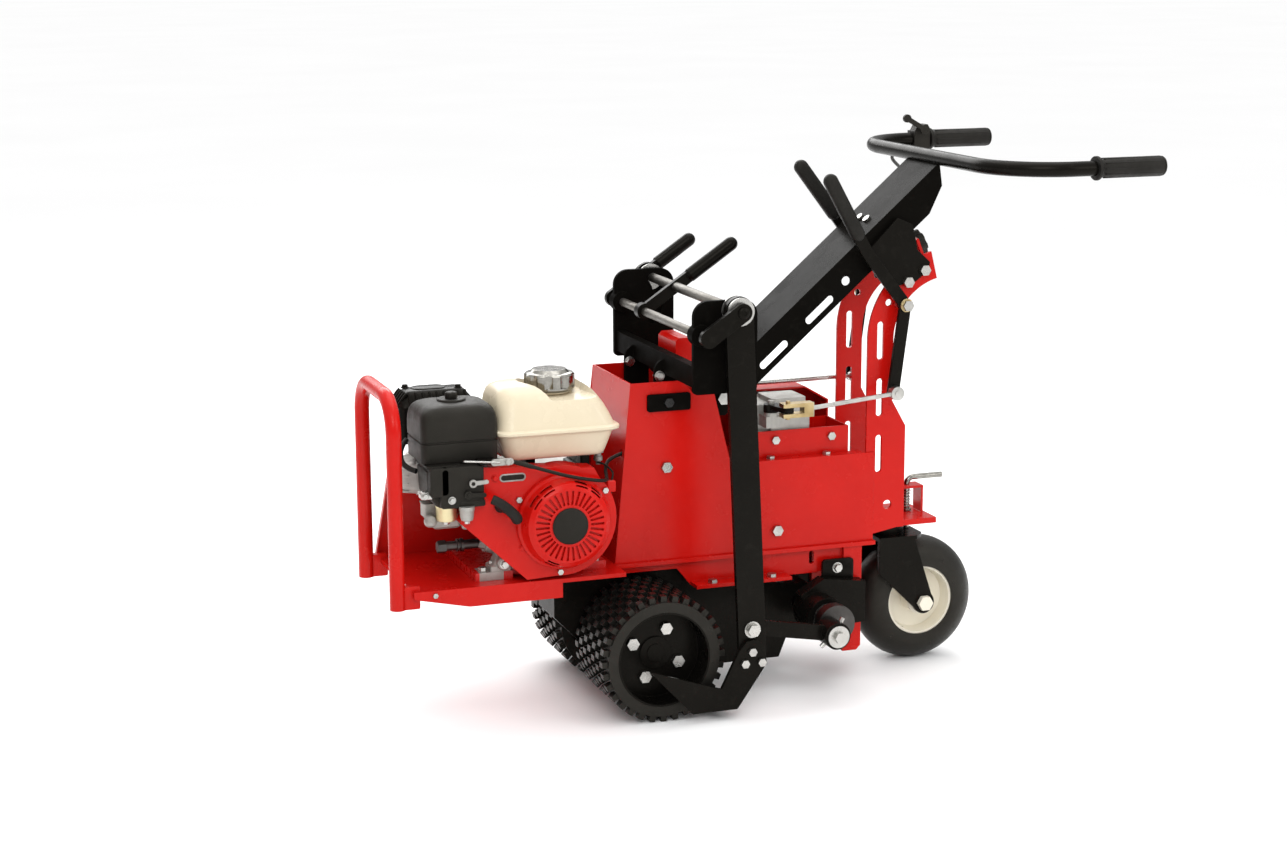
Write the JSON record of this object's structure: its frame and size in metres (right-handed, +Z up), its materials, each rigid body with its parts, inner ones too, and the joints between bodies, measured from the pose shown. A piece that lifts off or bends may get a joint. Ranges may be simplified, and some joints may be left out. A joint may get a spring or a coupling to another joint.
{
  "type": "walk-behind sod cutter",
  "caption": "Walk-behind petrol sod cutter with lugged drive wheels, a swinging blade hung on two arms, depth levers, a locking rear caster and a sloping handle post.",
  "frame": {"origin": "on the ground, under the middle of the machine's bounding box", "axes": "+X from the bumper to the handle, +Y to the operator's right, +Z up"},
  "size_m": [1.2734, 0.6498, 0.9455],
  "materials": {
    "red_paint": "gloss enamel",
    "black_paint": "satin powder coat",
    "zinc": "bright zinc plate",
    "steel": "turned",
    "blade_steel": "hardened, dark",
    "casting": "sand cast",
    "cream_paint": "gloss enamel",
    "chrome": "polished",
    "black_plastic": "moulded",
    "black_rubber": "moulded",
    "tyre": "moulded tread",
    "ivory": "enamel"
  },
  "bodies": {
    "frame": {"main_deck": "red_paint", "frame_rails": "red_paint", "bumper": "red_paint", "side_plates": "red_paint", "guard_front": "red_paint", "belt_guard": "red_paint", "tower": "red_paint", "tray": "red_paint", "mast_frame": "red_paint", "hanger_frame": "black_paint", "handle_post": "black_paint", "post_brackets": "black_paint", "handlebar": "black_paint", "handle_grips": "black_rubber", "throttle_box": "black_plastic", "axle_hangers": "black_paint", "chain_case": "black_paint", "eccentric_bearings": "black_paint", "gearbox": "casting", "engine_block": "casting", "fan_shroud": "red_paint", "recoil_cover": "red_paint", "recoil_disc": "black_plastic", "starter_grip": "black_rubber", "fuel_tank": "cream_paint", "air_cleaner": "black_plastic", "carburettor": "casting", "muffler": "black_paint", "throttle_cable": "black_plastic", "frame_bolts": "zinc", "drive_belt": "black_rubber", "lock_spring": "zinc"},
    "drive_wheels": {"drive_axle": "black_paint", "drive_tyres": "tyre", "wheel_bolts": "zinc"},
    "caster": {"caster_fork": "black_paint"},
    "caster_wheel": {"caster_tyre": "tyre", "caster_rim": "ivory"},
    "lock": {"lock_pin": "chrome"},
    "blade_crank": {"eccentric_shaft": "steel"},
    "depth": {"depth_levers": "black_paint"},
    "hanger": {"hanger_rod": "zinc"},
    "cutter": {"cutter_arms": "black_paint", "blade": "blade_steel", "cutter_bolts": "zinc"},
    "link": {"links": "black_paint", "link_caps": "zinc"},
    "drive_control": {"drive_lever": "black_paint"},
    "drive_push": {"drive_rod": "zinc"},
    "shift": {"shift_arm": "black_paint"},
    "clutch_control": {"clutch_lever": "black_paint"},
    "clutch_push": {"clutch_rod": "zinc"},
    "idler": {"idler_arm": "steel"},
    "throttle": {"throttle_lever": "black_plastic"},
    "cap": {"fuel_cap": "chrome"},
    "choke": {"choke_lever": "casting"},
    "fuel_tap": {"fuel_lever": "casting"},
    "knob": {"clamp_knob": "black_plastic"},
    "engine_shaft": {"engine_pulley": "steel"},
    "input_shaft": {"input_pulley": "steel"}
  },
  "joints": [
    {"name": "drive_axle_spin", "type": "hinge", "parent": "frame", "child": "drive_wheels", "pos_m": [-0.20025, 0, 0.107], "axis": [0, 1, 0], "continuous": true},
    {"name": "caster_swivel", "type": "hinge", "parent": "frame", "child": "caster", "pos_m": [0.28875, 0, 0.24], "axis": [0, 0, 1], "range_deg": [-90, 90]},
    {"name": "caster_wheel_spin", "type": "hinge", "parent": "caster", "child": "caster_wheel", "pos_m": [0.34275, 0, 0.112], "axis": [0, 1, 0], "continuous": true},
    {"name": "caster_lock", "type": "slide", "parent": "frame", "child": "lock", "axis": [0, 0, 1], "range_m": [0, 0.016], "stiffness_N_per_m": 300, "springref_m": -0.01, "deforming": ["lock_spring"]},
    {"name": "blade_crank_spin", "type": "hinge", "parent": "frame", "child": "blade_crank", "pos_m": [0.11675, 0, 0.13], "axis": [0, 1, 0], "continuous": true},
    {"name": "depth_lever", "type": "hinge", "parent": "frame", "child": "depth", "pos_m": [-0.13725, 0, 0.642], "axis": [0, 1, 0], "range_deg": [0, 64]},
    {"name": "hanger_turn", "type": "hinge", "parent": "depth", "child": "hanger", "pos_m": [-0.07922, 0, 0.68114], "axis": [0, 1, 0], "range_deg": [-64, 0]},
    {"name": "blade_swing", "type": "hinge", "parent": "hanger", "child": "cutter", "pos_m": [-0.07922, 0, 0.68114], "axis": [0, 1, 0], "range_deg": [-3.9, 0.1]},
    {"name": "link_pivot", "type": "hinge", "parent": "cutter", "child": "link", "pos_m": [-0.05425, 0, 0.15], "axis": [0, 1, 0], "range_deg": [-27.5, 0]},
    {"name": "drive_lever", "type": "hinge", "parent": "frame", "child": "drive_control", "pos_m": [0.27875, 0, 0.653], "axis": [0, 1, 0], "range_deg": [0, 10]},
    {"name": "drive_rod_pivot", "type": "hinge", "parent": "drive_control", "child": "drive_push", "pos_m": [0.25904, 0, 0.50329], "axis": [0, 1, 0], "range_deg": [-11.7, 0]},
    {"name": "shift_arm_turn", "type": "hinge", "parent": "frame", "child": "shift", "pos_m": [0.04475, -0.05797, 0.484], "axis": [0, 0, 1], "range_deg": [-34.5, 0]},
    {"name": "clutch_lever", "type": "hinge", "parent": "frame", "child": "clutch_control", "pos_m": [0.27875, 0, 0.653], "axis": [0, 1, 0], "range_deg": [0, 10]},
    {"name": "clutch_rod_pivot", "type": "hinge", "parent": "clutch_control", "child": "clutch_push", "pos_m": [0.25904, 0, 0.50329], "axis": [0, 1, 0], "range_deg": [-11.8, 0]},
    {"name": "idler_turn", "type": "hinge", "parent": "frame", "child": "idler", "pos_m": [-0.05025, 0, 0.412], "axis": [0, 1, 0], "range_deg": [-16.7, 0]},
    {"name": "throttle_turn", "type": "hinge", "parent": "frame", "child": "throttle", "pos_m": [0.48975, 0, 0.917], "axis": [0, 1, 0], "range_deg": [-25, 25]},
    {"name": "fuel_cap_turn", "type": "hinge", "parent": "frame", "child": "cap", "pos_m": [-0.34025, -0.03, 0.56], "axis": [0, 0, 1], "range_deg": [0, 90]},
    {"name": "choke_turn", "type": "hinge", "parent": "frame", "child": "choke", "pos_m": [-0.50425, 0, 0.416], "axis": [0, 1, 0], "range_deg": [-35, 10]},
    {"name": "fuel_tap_turn", "type": "hinge", "parent": "frame", "child": "fuel_tap", "pos_m": [-0.51225, 0, 0.398], "axis": [0, 1, 0], "range_deg": [-10, 40]},
    {"name": "clamp_knob_turn", "type": "hinge", "parent": "frame", "child": "knob", "pos_m": [0.32375, 0, 0.738], "axis": [0.9272, 0, 0.3746], "continuous": true},
    {"name": "engine_shaft_spin", "type": "hinge", "parent": "frame", "child": "engine_shaft", "pos_m": [-0.34925, 0, 0.338], "axis": [0, 1, 0], "continuous": true},
    {"name": "input_shaft_spin", "type": "hinge", "parent": "frame", "child": "input_shaft", "pos_m": [0.09975, 0, 0.42], "axis": [0, 1, 0], "continuous": true}
  ],
  "couplings": [
    {"joint": "hanger_turn", "follows": "depth_lever", "ratio": -1},
    {"joint": "link_pivot", "follows": "depth_lever", "ratio": -0.427},
    {"joint": "drive_rod_pivot", "follows": "drive_lever", "ratio": -1.16},
    {"joint": "shift_arm_turn", "follows": "drive_lever", "ratio": -3.43},
    {"joint": "clutch_rod_pivot", "follows": "clutch_lever", "ratio": -1.174},
    {"joint": "idler_turn", "follows": "clutch_lever", "ratio": -1.66},
    {"joint": "input_shaft_spin", "follows": "engine_shaft_spin", "ratio": 0.76364}
  ]
}
